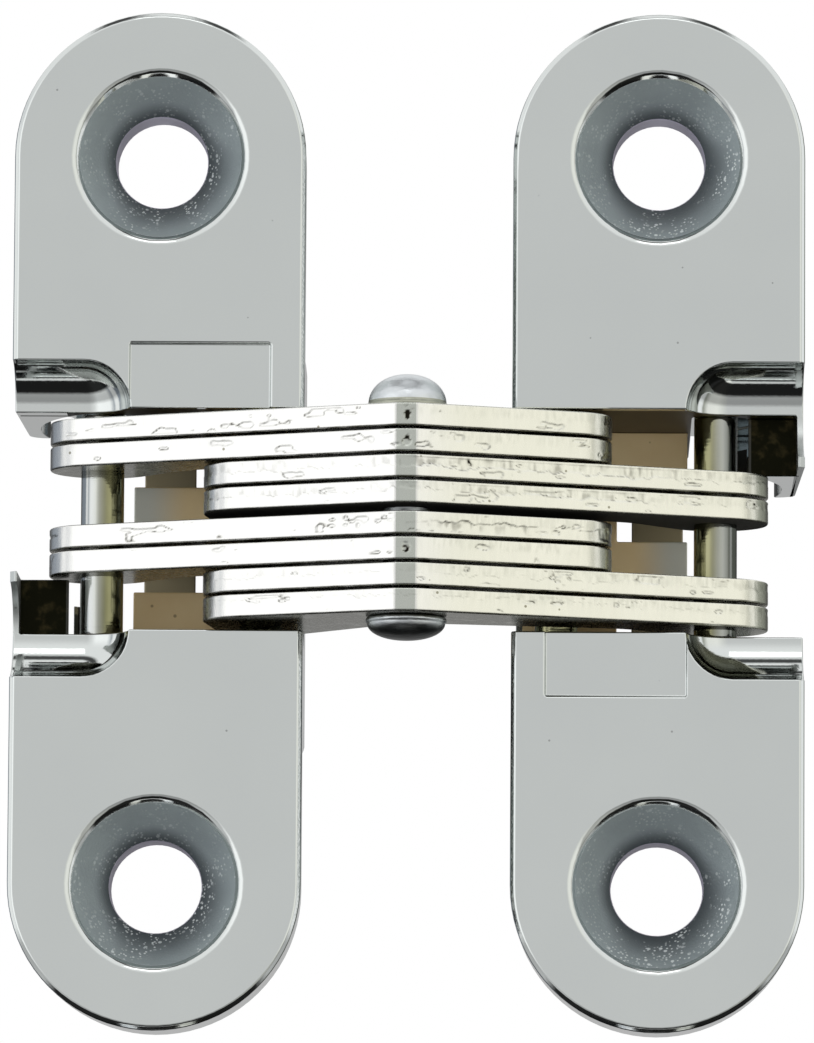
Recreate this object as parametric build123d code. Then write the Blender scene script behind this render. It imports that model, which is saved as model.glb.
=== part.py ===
from build123d import *
from math import acos, asin, atan2, cos, degrees, hypot, pi, radians, sin, sqrt, tan
import os

# Invisible hinge for a door of 19 mm or more, drawn fully open, as it lies flat.
# Two equal leaves are let into the door and the frame. Eight stamped links join them in two
# sets that cross like scissors on one centre rivet. Each set turns on a fixed pin in one leaf
# and slides on a loose pin in the other, so the leaves stay hidden when the door is shut.
#
# Frame: Z runs along the pins, X across the two leaves, and the leaf faces look towards -Y.
# The origin is the middle of the open hinge, on the plane of the two faces.
# A leaf has its own plan: u is measured from its gap edge outwards, v from its face inwards.
# All sizes are in millimetres, all angles in degrees unless a name says radians.

# Leaf casting
LEAF_LENGTH = 44.45
LEAF_WIDTH = 12.7
PLATE_THICK = 3.97
BODY_DEPTH = 16.67
BODY_LENGTH = 25.4
SHOULDER_DEPTH = 10.7
DEEP_WIDTH = 10.6
BODY_CORNER = 1.2
FACE_EDGE = 0.2
DRAFT = 1.2
OUTER_WALL = 0.3
SLOT_LENGTH = 9.7

# How the two leaves stand to each other
OPEN_GAP = 9.0
CLOSED_GAP = 0.5

# Screw holes
SCREW_SPACING = 31.75
SCREW_HOLE = 4.0
SINK_DIAMETER = 7.1
SINK_ANGLE = 82.0
SINK_EDGE = 0.22

# Bare sunk panel beside the slot, and the hollows that take the rivet heads
PANEL_START = 1.5
PANEL_END = 7.6
PANEL_HEIGHT = 2.8
PANEL_DEPTH = 0.25
HOLLOW_RADIUS = 2.05

# Pocket floors and the walls between the link pairs
FLOOR_DEPTH = 7.9
BLOCK_WIDTH = 7.7
ARM_FLOOR_WIDTH = 4.6
LEDGE_DEPTH = 3.25
BACK_WALL = 0.5
BACK_WALL_START = 5.3
BACK_WALL_END = 7.6

# Link plates
LINK_THICK = 1.0
LINK_GAP = 0.11
MIDDLE_GAP = 0.34
PAIR = 2
APEX_HEIGHT = 4.5
APEX_FLAT = 0.96
SLIDE_EYE = 2.3
PIVOT_EYE = 1.9
TOE_RADIUS = 2.2
TOE_REACH = 4.35
NECK_REACH = 9.5
NECK_DEPTH = 2.3
CROTCH_DEPTH = 2.3
NECK_ROUND = 3.0
CROTCH_ROUND = 1.6

# Pins and their fits
PIN_DIAMETER = 1.88
RIVET_SHANK = 2.0
RIVET_HEAD = 3.5
RIVET_BAND = 0.2
UPPER_CROWN = 1.3
LOWER_CROWN = 0.75
RUNNING_FIT = 0.04
GUIDE_FIT = 0.08
PIVOT_SEAT = 1.6
SLIDE_SEAT = 0.9
SEAT_PLAY = 0.1
GUIDE_STEPS = 5

# Where the pins stand in a leaf, and where the centre rivet stands when open
PIVOT_U = 1.95
PIVOT_V = 4.05
SLIDE_U = 8.87
RIVET_HEIGHT = 1.9

# Worked out from the sizes above
HALF_GAP = OPEN_GAP / 2
HALF_SLOT = SLOT_LENGTH / 2
PIN_R = PIN_DIAMETER / 2
BEYOND = 1.0
RIGHT_PAIR_ORDER = ("short", "long", "short", "long")


def rivet_closed_u():
    """Place of the centre rivet across the leaf when shut: its pivot arm keeps its length."""
    arm_squared = (PIVOT_U + HALF_GAP) ** 2 + (PIVOT_V + RIVET_HEIGHT) ** 2
    return PIVOT_U + sqrt(arm_squared - (PIVOT_V + CLOSED_GAP / 2) ** 2)


def slide_depth_closed(slide_v):
    """Depth of the sliding pin when shut, for its depth when open: its arm keeps its length."""
    arm_squared = (SLIDE_U + HALF_GAP) ** 2 + (slide_v + RIVET_HEIGHT) ** 2
    return sqrt(arm_squared - (SLIDE_U - rivet_closed_u()) ** 2) - CLOSED_GAP / 2


def bend_change(slide_v):
    """Bend of a link when open less its bend when shut. A rigid link needs this to be zero."""
    rivet_u = rivet_closed_u()
    bend_open = atan2(PIVOT_V + RIVET_HEIGHT, PIVOT_U + HALF_GAP)
    bend_open += atan2(slide_v + RIVET_HEIGHT, SLIDE_U + HALF_GAP)
    bend_shut = atan2(rivet_u - PIVOT_U, PIVOT_V + CLOSED_GAP / 2)
    bend_shut += atan2(rivet_u - SLIDE_U, slide_depth_closed(slide_v) + CLOSED_GAP / 2)
    return bend_open - bend_shut


def slide_depth_open():
    """Depth of the sliding pin when open, found by halving the interval."""
    low = 0.0
    high = BODY_DEPTH
    for _ in range(60):
        middle = (low + high) / 2
        if bend_change(middle) < 0:
            low = middle
        else:
            high = middle
    return (low + high) / 2


def swing_radians():
    """How far a link turns in the leaf that holds its fixed pin, from open to shut."""
    start = atan2(-RIVET_HEIGHT - PIVOT_V, -HALF_GAP - PIVOT_U)
    end = atan2(-CLOSED_GAP / 2 - PIVOT_V, rivet_closed_u() - PIVOT_U)
    return (end - start) % (2 * pi)


RIVET_SHUT_U = rivet_closed_u()
SLIDE_V = slide_depth_open()
SLIDE_SHUT_V = slide_depth_closed(SLIDE_V)
SWING = swing_radians()
CROSS_RATIO = pi / SWING - 2


def turned(point, centre, angle):
    """A point turned about a centre by an angle in radians, from u towards v."""
    du = point[0] - centre[0]
    dv = point[1] - centre[1]
    u = centre[0] + cos(angle) * du - sin(angle) * dv
    v = centre[1] + sin(angle) * du + cos(angle) * dv
    return (u, v)


def slide_place(share):
    """Place (u, v) of the sliding pin in its leaf, for a share of the swing from 0 to 1.
    The links turn at constant ratios, so the pin bows outwards between its two ends."""
    swing = share * SWING
    rivet = turned((-HALF_GAP, -RIVET_HEIGHT), (PIVOT_U, PIVOT_V), swing)
    pin_from_rivet = (SLIDE_U + HALF_GAP, SLIDE_V + RIVET_HEIGHT)
    step = turned(pin_from_rivet, (0, 0), swing * (1 + CROSS_RATIO))
    return (rivet[0] + step[0], rivet[1] + step[1])


def link_levels():
    """Lower and upper z of each link, from the top link to the bottom one."""
    count = PAIR * len(RIGHT_PAIR_ORDER)
    height = count * LINK_THICK + (count - 2) * LINK_GAP + MIDDLE_GAP
    levels = []
    top = height / 2
    for number in range(1, count + 1):
        levels.append((top - LINK_THICK, top))
        gap = MIDDLE_GAP if number == count // 2 else LINK_GAP
        top -= LINK_THICK + gap
    return levels


def pair_bands():
    """Lower and upper z of the pocket of each pair of links. Walls end midway between pairs."""
    levels = link_levels()
    edges = [HALF_SLOT]
    for first in range(PAIR, len(levels), PAIR):
        edges.append((levels[first - 1][0] + levels[first][1]) / 2)
    edges.append(-HALF_SLOT)
    return list(zip(edges[1:], edges[:-1]))


def block(u_low, u_high, v_low, v_high, z_low, z_high):
    """A plain box between two corners."""
    size = (u_high - u_low, v_high - v_low, z_high - z_low)
    centre = ((u_low + u_high) / 2, (v_low + v_high) / 2, (z_low + z_high) / 2)
    return Pos(*centre) * Box(*size)


def rod(u, v, radius, z_low, z_high):
    """A round bar along Z."""
    return Pos(u, v, (z_low + z_high) / 2) * Cylinder(radius, z_high - z_low)


def upright(profile, z_low, z_high):
    """A flat profile in plan raised between two heights."""
    return extrude(Pos(0, 0, z_low) * profile, z_high - z_low, dir=(0, 0, 1))


def drafted(depth):
    """How far a side wall of the casting has leant in at a depth, so it draws from its die."""
    return depth * tan(radians(DRAFT))


def stadium(length, depth, lean):
    """A plate with full round ends, its face on v = 0. Its sides lean in by an angle."""
    plan = Plane((LEAF_WIDTH / 2, 0, 0), x_dir=(0, 0, 1), z_dir=(0, 1, 0))
    return extrude(plan * SlotOverall(length, LEAF_WIDTH), depth, taper=lean)


def face_plate():
    """The visible plate, with its face edge broken by a narrow chamfer."""
    plate = stadium(LEAF_LENGTH, PLATE_THICK, DRAFT)
    face = plate.faces().sort_by(Axis.Y)[0]
    return chamfer(face.edges(), FACE_EDGE)


def leaf_body():
    """The deep body, from half way through the plate to its back. Its outer back corner is
    stepped in at a shoulder. Its sides are drafted, and its ends are round, to drop into a
    mortise made with a drill of the plate's width."""
    start = PLATE_THICK / 2
    with BuildSketch() as plan:
        with BuildLine():
            Polyline(
                (drafted(start), start),
                (LEAF_WIDTH - drafted(start), start),
                (LEAF_WIDTH - drafted(SHOULDER_DEPTH), SHOULDER_DEPTH),
                (DEEP_WIDTH, SHOULDER_DEPTH),
                (DEEP_WIDTH, BODY_DEPTH),
                (drafted(BODY_DEPTH), BODY_DEPTH),
                close=True,
            )
        make_face()
        corners = plan.vertices().filter_by(lambda corner: corner.Y > PLATE_THICK)
        step = LEAF_WIDTH - drafted(SHOULDER_DEPTH) - DEEP_WIDTH
        fillet(corners, min(BODY_CORNER, 0.45 * step))
    prism = upright(plan.sketch, -BODY_LENGTH / 2, BODY_LENGTH / 2)
    return prism & stadium(BODY_LENGTH, BODY_DEPTH, 0)


def pocket_band(kind, z_low, z_high, outer_wall):
    """What is cut away for one pair of links. A short pair swings above a solid block, beside
    the slot of the sliding pin. At the slot's end a shallow ledge lies beyond that slot. A long
    pair needs the outer part cut right through, apart from a thin wall at the back."""
    outer = LEAF_WIDTH - OUTER_WALL if outer_wall else LEAF_WIDTH + BEYOND
    swept = block(-BEYOND, outer, -BEYOND, FLOOR_DEPTH, z_low, z_high)
    if kind == "long":
        through = block(ARM_FLOOR_WIDTH, outer, 0, BODY_DEPTH + BEYOND, z_low, z_high)
        wall_front = BODY_DEPTH - BACK_WALL
        wall_back = BODY_DEPTH + 2 * BEYOND
        wall = block(BACK_WALL_START, BACK_WALL_END, wall_front, wall_back, z_low, z_high)
        return swept + through - wall
    if outer_wall:
        slot_end = SLIDE_U + PIN_R + GUIDE_FIT
        ledge = block(slot_end, outer, -BEYOND, LEDGE_DEPTH, z_low, z_high)
        swept = block(-BEYOND, slot_end, -BEYOND, FLOOR_DEPTH, z_low, z_high)
        through = block(BLOCK_WIDTH, slot_end, 0, BODY_DEPTH + BEYOND, z_low, z_high)
        return swept + ledge + through + pin_guide(z_low, z_high)
    return swept + block(BLOCK_WIDTH, outer, 0, BODY_DEPTH + BEYOND, z_low, z_high)


def pin_guide(z_low, z_high):
    """Slot for the sliding pin, open at the back of the leaf, where the pin goes in. Its inner
    side is straight. Its outer side keeps half the slot's width away from the pin's path."""
    half = PIN_R + GUIDE_FIT
    outer = []
    for step in range(GUIDE_STEPS + 1):
        share = step / GUIDE_STEPS
        u, v = slide_place(share)
        before = slide_place(share - 0.01)
        after = slide_place(share + 0.01)
        heading = atan2(after[1] - before[1], after[0] - before[0])
        outer.append((u + half * sin(heading), v - half * cos(heading)))
    top_inner = (SLIDE_U - half, SLIDE_V)
    back_outer = (outer[-1][0], BODY_DEPTH + BEYOND)
    back_inner = (SLIDE_U - half, BODY_DEPTH + BEYOND)
    with BuildSketch() as plan:
        with BuildLine():
            ThreePointArc(top_inner, (SLIDE_U, SLIDE_V - half), outer[0])
            Spline(*outer)
            Polyline(outer[-1], back_outer, back_inner, top_inner)
        make_face()
    return upright(plan.sketch, z_low, z_high)


def screw_hole(z):
    """A countersunk hole, turned from its half profile. The rim of the cone is broken by a
    wider chamfer, which catches the light as a ring."""
    rim_r = SINK_DIAMETER / 2
    hole_r = SCREW_HOLE / 2
    cone_depth = (rim_r - hole_r) / tan(radians(SINK_ANGLE / 2))
    with BuildSketch() as half:
        with BuildLine():
            Polyline(
                (rim_r + SINK_EDGE, 0),
                (rim_r, SINK_EDGE),
                (hole_r, SINK_EDGE + cone_depth),
                (hole_r, PLATE_THICK + BEYOND),
                (0, PLATE_THICK + BEYOND),
                (0, -BEYOND),
                (rim_r + SINK_EDGE, -BEYOND),
                close=True,
            )
        make_face()
    cutter = revolve(half.sketch, Axis.Y)
    return Pos(LEAF_WIDTH / 2, 0, z) * cutter


def rivet_hollow(side):
    """Hollow at one end of the slot that takes the rivet head when the hinge is shut: a
    ball-ended channel that runs out through the outer edge."""
    z = side * HALF_SLOT
    ball = Pos(RIVET_SHUT_U, 0, z) * Sphere(HOLLOW_RADIUS)
    length = LEAF_WIDTH + BEYOND - RIVET_SHUT_U
    channel = Pos(RIVET_SHUT_U + length / 2, 0, z) * Rot(0, 90, 0) * Cylinder(HOLLOW_RADIUS, length)
    return ball + channel


def leaf():
    """One leaf casting, its gap edge on u = 0 and its face on v = 0."""
    casting = face_plate() + leaf_body()
    bands = pair_bands()
    for index, (kind, (z_low, z_high)) in enumerate(zip(RIGHT_PAIR_ORDER, bands)):
        casting -= pocket_band(kind, z_low, z_high, outer_wall=index == 0)
    groove_depth = SLIDE_SEAT + SEAT_PLAY
    casting -= pin_guide(HALF_SLOT, HALF_SLOT + groove_depth)
    casting -= pin_guide(-HALF_SLOT - groove_depth, -HALF_SLOT)
    pivot_end = HALF_SLOT + PIVOT_SEAT + SEAT_PLAY
    casting -= rod(PIVOT_U, PIVOT_V, PIN_R, -pivot_end, pivot_end)
    for side in (1, -1):
        casting -= screw_hole(side * SCREW_SPACING / 2)
        casting -= rivet_hollow(side)
    panel_low = -HALF_SLOT - PANEL_HEIGHT
    casting -= block(PANEL_START, PANEL_END, -BEYOND, PANEL_DEPTH, panel_low, -HALF_SLOT)
    return casting


def tangent_from(point, centre, radius, side):
    """Where a straight line from a point touches a circle. Side 1 turns from x towards y."""
    dx = centre[0] - point[0]
    dy = centre[1] - point[1]
    reach = hypot(dx, dy)
    heading = atan2(dy, dx) + side * asin(radius / reach)
    length = sqrt(reach ** 2 - radius ** 2)
    return (point[0] + length * cos(heading), point[1] + length * sin(heading))


def circle_link(first, first_r, second, second_r, side):
    """The two ends of the straight line that touches two circles on the same side."""
    dx = second[0] - first[0]
    dy = second[1] - first[1]
    heading = atan2(dy, dx)
    normal = heading + side * acos((first_r - second_r) / hypot(dx, dy))
    start = (first[0] + first_r * cos(normal), first[1] + first_r * sin(normal))
    end = (second[0] + second_r * cos(normal), second[1] + second_r * sin(normal))
    return start, end


def between(centre, radius, start, end, turn):
    """The middle point of an arc round a centre, from start to end, turning by a sign."""
    first = atan2(start[1] - centre[1], start[0] - centre[0])
    last = atan2(end[1] - centre[1], end[0] - centre[0])
    sweep = (turn * (last - first)) % (2 * pi)
    angle = first + turn * sweep / 2
    return (centre[0] + radius * cos(angle), centre[1] + radius * sin(angle))


def link_plan():
    """Outline of a link as it lies open, its long arm towards +X and the rivet on X = 0.
    The front is a shallow roof with a small flat. The long arm ends in the eye of the sliding
    pin. The short arm is a deep foot, with the fixed pin at its heel and a round toe."""
    slide = (HALF_GAP + SLIDE_U, SLIDE_V)
    pivot = (-HALF_GAP - PIVOT_U, PIVOT_V)
    flat_right = (APEX_FLAT / 2, -APEX_HEIGHT)
    flat_left = (-APEX_FLAT / 2, -APEX_HEIGHT)
    front_end = tangent_from(flat_right, slide, SLIDE_EYE, -1)
    slope = atan2(front_end[1] - flat_right[1], front_end[0] - flat_right[0])
    toe_x = -HALF_GAP - TOE_REACH + TOE_RADIUS
    toe_front_y = -APEX_HEIGHT + (-toe_x - APEX_FLAT / 2) * tan(slope)
    toe = (toe_x, toe_front_y + TOE_RADIUS / cos(slope))
    toe_front = (toe[0] - TOE_RADIUS * sin(slope), toe[1] - TOE_RADIUS * cos(slope))
    neck = (NECK_REACH, NECK_DEPTH)
    crotch = (0, -RIVET_HEIGHT + CROTCH_DEPTH)
    neck_touch = tangent_from(neck, slide, SLIDE_EYE, 1)
    heel_touch = tangent_from(crotch, pivot, PIVOT_EYE, -1)
    heel_back, toe_back = circle_link(pivot, PIVOT_EYE, toe, TOE_RADIUS, -1)
    with BuildSketch() as plan:
        with BuildLine():
            Line(flat_left, flat_right)
            Line(flat_right, front_end)
            ThreePointArc(
                front_end, between(slide, SLIDE_EYE, front_end, neck_touch, 1), neck_touch
            )
            FilletPolyline(
                neck_touch, neck, crotch, heel_touch, radius=(NECK_ROUND, CROTCH_ROUND)
            )
            ThreePointArc(
                heel_touch, between(pivot, PIVOT_EYE, heel_touch, heel_back, 1), heel_back
            )
            Line(heel_back, toe_back)
            ThreePointArc(toe_back, between(toe, TOE_RADIUS, toe_back, toe_front, 1), toe_front)
            Line(toe_front, flat_left)
        make_face()
    return plan.sketch


def link(z_low, z_high, long_to_right, rivet_fit):
    """One stamped link, cut square through the sheet, with its three holes."""
    plate = upright(link_plan(), z_low, z_high)
    plate -= rod(HALF_GAP + SLIDE_U, SLIDE_V, PIN_R, z_low - BEYOND, z_high + BEYOND)
    pivot_r = PIN_R + RUNNING_FIT
    plate -= rod(-HALF_GAP - PIVOT_U, PIVOT_V, pivot_r, z_low - BEYOND, z_high + BEYOND)
    rivet_r = RIVET_SHANK / 2 + rivet_fit
    plate -= rod(0, -RIVET_HEIGHT, rivet_r, z_low - BEYOND, z_high + BEYOND)
    if long_to_right:
        return plate
    return mirror(plate, Plane.YZ)


def crown_points(crown, side):
    """Edge, middle and tip of the arc of one rivet head, at the end that the side names."""
    collar = link_levels()[0][1] + RUNNING_FIT + RIVET_BAND
    head_r = RIVET_HEAD / 2
    crown_r = (head_r ** 2 + crown ** 2) / (2 * crown)
    half_angle = asin(head_r / crown_r) / 2
    middle_z = collar + crown - crown_r * (1 - cos(half_angle))
    middle = (crown_r * sin(half_angle), side * middle_z)
    return (head_r, side * collar), middle, (0, side * (collar + crown))


def centre_rivet():
    """The rivet that all eight links cross on, turned from its half profile. Its upper head was
    made with the rivet, and the lower one was spun over at the end, so it is flatter."""
    seat = link_levels()[0][1] + RUNNING_FIT
    head_r = RIVET_HEAD / 2
    shank_r = RIVET_SHANK / 2
    upper = crown_points(UPPER_CROWN, 1)
    lower = crown_points(LOWER_CROWN, -1)
    with BuildSketch(Plane.XZ) as half:
        with BuildLine():
            ThreePointArc(*upper)
            Polyline(upper[0], (head_r, seat), (shank_r, seat))
            Line((shank_r, seat), (shank_r, -seat))
            Polyline((shank_r, -seat), (head_r, -seat), lower[0])
            ThreePointArc(*lower)
            Line(lower[2], upper[2])
        make_face()
    return Pos(0, -RIVET_HEIGHT, 0) * revolve(half.sketch, Axis.Z)


def build():
    """All nodes of the hinge by name."""
    nodes = {}
    right = Pos(HALF_GAP, 0, 0) * leaf()
    nodes["right_leaf"] = right
    nodes["left_leaf"] = Rot(0, 180, 0) * right
    for number, (z_low, z_high) in enumerate(link_levels(), start=1):
        kind = RIGHT_PAIR_ORDER[(number - 1) // PAIR]
        long_to_right = kind == "long"
        rivet_fit = RUNNING_FIT if long_to_right else 0
        nodes[f"link_{number}"] = link(z_low, z_high, long_to_right, rivet_fit)
    nodes["centre_rivet"] = centre_rivet()
    for side, name in ((1, "right"), (-1, "left")):
        fixed_x = side * (HALF_GAP + PIVOT_U)
        fixed_end = HALF_SLOT + PIVOT_SEAT
        nodes[f"{name}_pivot_pin"] = rod(fixed_x, PIVOT_V, PIN_R, -fixed_end, fixed_end)
        slide_x = side * (HALF_GAP + SLIDE_U)
        slide_end = HALF_SLOT + SLIDE_SEAT
        nodes[f"{name}_slide_pin"] = rod(slide_x, SLIDE_V, PIN_R, -slide_end, slide_end)
    return nodes


def main():
    """Write one STEP file for each node, and print the linkage's worked-out sizes."""
    os.makedirs("parts", exist_ok=True)
    for name, solid in build().items():
        export_step(solid, os.path.join("parts", f"{name}.step"))
    print("rivet shut u", round(RIVET_SHUT_U, 4))
    print("slide pin v open", round(SLIDE_V, 4), "shut", round(SLIDE_SHUT_V, 4))
    print("swing", round(degrees(SWING), 4), "cross ratio", round(CROSS_RATIO, 6))


if __name__ == "__main__":
    main()
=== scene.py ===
# %% [markdown]
# Invisible hinge, fully open
#
# The real object is a door hinge that can't be seen when the door is shut. It has two plated
# zinc castings, eight stamped steel links, one rivet and four pins. This lesson dresses the
# measured solids of that hinge: each cell first says what the piece is and how it is made,
# and then makes it. Sizes are in metres, written as a number times MM. The cells that shape the
# links, the rivet and the pins work in millimetres, and so do names that end in mm.

# %% Load the measured model
from math import asin, atan2, cos, hypot, pi, radians, sin
import bmesh
import bpy
import numpy as np
from mathutils import Matrix, Vector


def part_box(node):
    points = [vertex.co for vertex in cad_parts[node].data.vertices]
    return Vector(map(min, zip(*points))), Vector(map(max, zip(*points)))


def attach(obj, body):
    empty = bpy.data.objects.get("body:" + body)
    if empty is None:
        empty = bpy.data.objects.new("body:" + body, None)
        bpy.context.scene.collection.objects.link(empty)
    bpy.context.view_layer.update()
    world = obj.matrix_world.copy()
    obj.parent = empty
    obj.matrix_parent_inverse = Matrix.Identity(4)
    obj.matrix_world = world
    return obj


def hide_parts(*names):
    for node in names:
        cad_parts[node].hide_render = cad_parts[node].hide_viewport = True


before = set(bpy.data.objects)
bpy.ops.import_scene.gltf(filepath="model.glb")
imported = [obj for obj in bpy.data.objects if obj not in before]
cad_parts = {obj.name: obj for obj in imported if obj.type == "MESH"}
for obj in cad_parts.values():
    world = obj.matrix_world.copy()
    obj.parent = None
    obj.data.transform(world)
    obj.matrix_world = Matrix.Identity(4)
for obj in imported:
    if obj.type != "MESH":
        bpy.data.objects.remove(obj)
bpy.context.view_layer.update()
MM = 0.001
print("pieces", sorted(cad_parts))

# %% [markdown]
# Places that the finishes and the new pieces share
#
# A casting has a plate with a face, two screw holes and a slot. Their places come from the
# measured pieces where those give them, and else they are named here as real sizes. Depths run
# from the face. The sunk panel is placed from the inner side of the leaf and from the slot.

# %% Shared places
LEAF_LOW, LEAF_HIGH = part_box("right_leaf")
HALF_GAP = LEAF_LOW.x
LEAF_WIDTH = LEAF_HIGH.x - LEAF_LOW.x
HOLE_X = HALF_GAP + LEAF_WIDTH / 2
HOLE_Z = 15.875 * MM
HOLE_RADIUS = 2.0 * MM
SINK_RADIUS = 3.55 * MM
SINK_EDGE = 0.22 * MM
HALF_SLOT = 4.85 * MM
PLATE_THICK = 3.97 * MM
FLOOR_DEPTH = 7.9 * MM
LEDGE_DEPTH = 3.25 * MM
BACK_WALL_DEPTH = 16.0 * MM
PANEL_START = 1.5 * MM
PANEL_END = 7.6 * MM
PANEL_HEIGHT = 2.8 * MM
PIN_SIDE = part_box("right_slide_pin")[1].x + 0.06 * MM
OUTER_SIDE = HALF_GAP + LEAF_WIDTH - 0.2 * MM
print("leaf width", round(LEAF_WIDTH / MM, 2), "mm, half gap", round(HALF_GAP / MM, 2), "mm")

# %% [markdown]
# Colour and node helpers
#
# Screens show sRGB, but light adds up in linear values, so one function turns a hex colour to
# linear. One more adds a shader node: its settings are attributes, and its links are given by
# the name or number of the input. The finishes below build on these: a mask from 0 to 1 says
# where a stain lies, and mixes its colour in.

# %% Helpers for colours and nodes
def linear(hex_colour):
    """Linear RGBA of an sRGB hex colour: c / 12.92 below 0.04045, else ((c + 0.055) / 1.055) ^ 2.4."""
    channels = []
    for start in (0, 2, 4):
        c = int(hex_colour[start:start + 2], 16) / 255
        channels.append(c / 12.92 if c <= 0.04045 else ((c + 0.055) / 1.055) ** 2.4)
    return (*channels, 1.0)


def add(tree, kind, inputs=None, **settings):
    """Add a node. A value in inputs is a link if it is a socket, and else a plain number."""
    node = tree.nodes.new(kind)
    for name, value in settings.items():
        setattr(node, name, value)
    for key, value in (inputs or {}).items():
        if isinstance(value, bpy.types.NodeSocket):
            tree.links.new(value, node.inputs[key])
        else:
            node.inputs[key].default_value = value
    return node


def calc(tree, operation, *values):
    """A math node on up to three numbers or sockets, and its result."""
    node = add(tree, "ShaderNodeMath", dict(enumerate(values)), operation=operation)
    return node.outputs[0]


def step_up(tree, value, low, high):
    """0 below low, 1 above high and a smooth ramp between."""
    inputs = {"Value": value, "From Min": low, "From Max": high}
    node = add(tree, "ShaderNodeMapRange", inputs, interpolation_type="SMOOTHSTEP")
    return node.outputs["Result"]


def mixed(tree, share, first, second):
    """First colour where share is 0, second where it is 1."""
    node = add(tree, "ShaderNodeMix", {"Factor": share}, data_type="RGBA")
    for socket, value in ((node.inputs[6], first), (node.inputs[7], second)):
        if isinstance(value, bpy.types.NodeSocket):
            tree.links.new(value, socket)
        else:
            socket.default_value = value
    return node.outputs[2]


def blended(tree, share, first, second):
    """First number where share is 0, second where it is 1."""
    span = calc(tree, "SUBTRACT", second, first)
    return calc(tree, "MULTIPLY_ADD", share, span, first)


def noise(tree, where, size_mm, detail=2.0, stretch=(1, 1, 1)):
    """Smooth noise from 0 to 1 whose blobs are about size_mm across, stretched along an axis."""
    scale = [1 / (size_mm * MM * s) for s in stretch]
    mapped = add(tree, "ShaderNodeMapping", {"Vector": where, "Scale": scale})
    inputs = {"Vector": mapped.outputs[0], "Scale": 1.0, "Detail": detail}
    return add(tree, "ShaderNodeTexNoise", inputs).outputs["Fac"]


def specks(tree, where, spacing_mm, radius_mm):
    """1 inside round specks scattered about spacing_mm apart, 0 elsewhere."""
    inputs = {"Vector": where, "Scale": 1 / (spacing_mm * MM)}
    cells = add(tree, "ShaderNodeTexVoronoi", inputs).outputs["Distance"]
    edge = radius_mm / spacing_mm
    return calc(tree, "SUBTRACT", 1.0, step_up(tree, cells, edge * 0.6, edge))


def new_material(name):
    """An empty node material, its tree, its surface output and the object's coordinates."""
    material = bpy.data.materials.new(name)
    material.use_nodes = True
    tree = material.node_tree
    tree.nodes.clear()
    output = add(tree, "ShaderNodeOutputMaterial")
    where = add(tree, "ShaderNodeTexCoord").outputs["Object"]
    return material, tree, output, where


def metal(tree, output, colour, roughness, height, relief_mm, metallic=1.0):
    """A metal surface, with relief from a height of 0 to 1. A film on it makes it less metallic."""
    bump_inputs = {"Height": height, "Distance": relief_mm * MM, "Strength": 1.0}
    normal = add(tree, "ShaderNodeBump", bump_inputs).outputs[0]
    inputs = {"Base Color": colour, "Metallic": metallic, "Roughness": roughness, "Normal": normal}
    shader = add(tree, "ShaderNodeBsdfPrincipled", inputs)
    tree.links.new(shader.outputs[0], output.inputs["Surface"])


print("white", linear("FFFFFF"))

# %% [markdown]
# Camera
#
# The photograph looks straight at the faces, a little from below and from the right, through a
# long lens. Its frame is 814 by 1043 pixels and shows 23.1 pixels for each millimetre of the
# faces. Seen from 420 mm the lines of depth run down and together as they do in the photograph.

# %% Camera
FRAME_PIXELS = (814, 1043)
PIXELS_PER_MM = 23.1
CAMERA_DISTANCE = 420 * MM
CAMERA_BELOW = radians(7.0)
CAMERA_RIGHT = radians(1.0)
CAMERA_ROLL = radians(0.37)
HINGE_PIXEL = (407.5, 519.0)
SENSOR_MM = 36.0
CLIP_NEAR, CLIP_FAR = 0.01, 20.0

place = Vector((
    CAMERA_DISTANCE * sin(CAMERA_RIGHT) * cos(CAMERA_BELOW),
    -CAMERA_DISTANCE * cos(CAMERA_RIGHT) * cos(CAMERA_BELOW),
    -CAMERA_DISTANCE * sin(CAMERA_BELOW),
))
camera_data = bpy.data.cameras.new("camera")
camera = bpy.data.objects.new("camera", camera_data)
bpy.context.scene.collection.objects.link(camera)
bpy.context.scene.camera = camera
camera_data.sensor_fit = "VERTICAL"
camera_data.sensor_height = SENSOR_MM
camera_data.clip_start = CLIP_NEAR
camera_data.clip_end = CLIP_FAR
focal_pixels = PIXELS_PER_MM * CAMERA_DISTANCE / MM
camera_data.lens = SENSOR_MM * focal_pixels / FRAME_PIXELS[1]
turn = (-place).to_track_quat("-Z", "Y").to_matrix().to_4x4()
off_right = (HINGE_PIXEL[0] - FRAME_PIXELS[0] / 2) / focal_pixels
off_down = (HINGE_PIXEL[1] - FRAME_PIXELS[1] / 2) / focal_pixels
aim = Matrix.Rotation(off_right, 4, "Y") @ Matrix.Rotation(off_down, 4, "X")
turn = turn @ Matrix.Rotation(CAMERA_ROLL, 4, "Z") @ aim
camera.matrix_world = Matrix.Translation(place) @ turn
print("lens", round(camera_data.lens, 1), "mm")

# %% [markdown]
# Floor
#
# The photograph has a pure white ground and no shadow. So the plain pale floor lies well below
# the hinge, where the camera doesn't see it, and polished metal doesn't see it either. Its faint
# grain is that of a rolled coat of matt paint.

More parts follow.
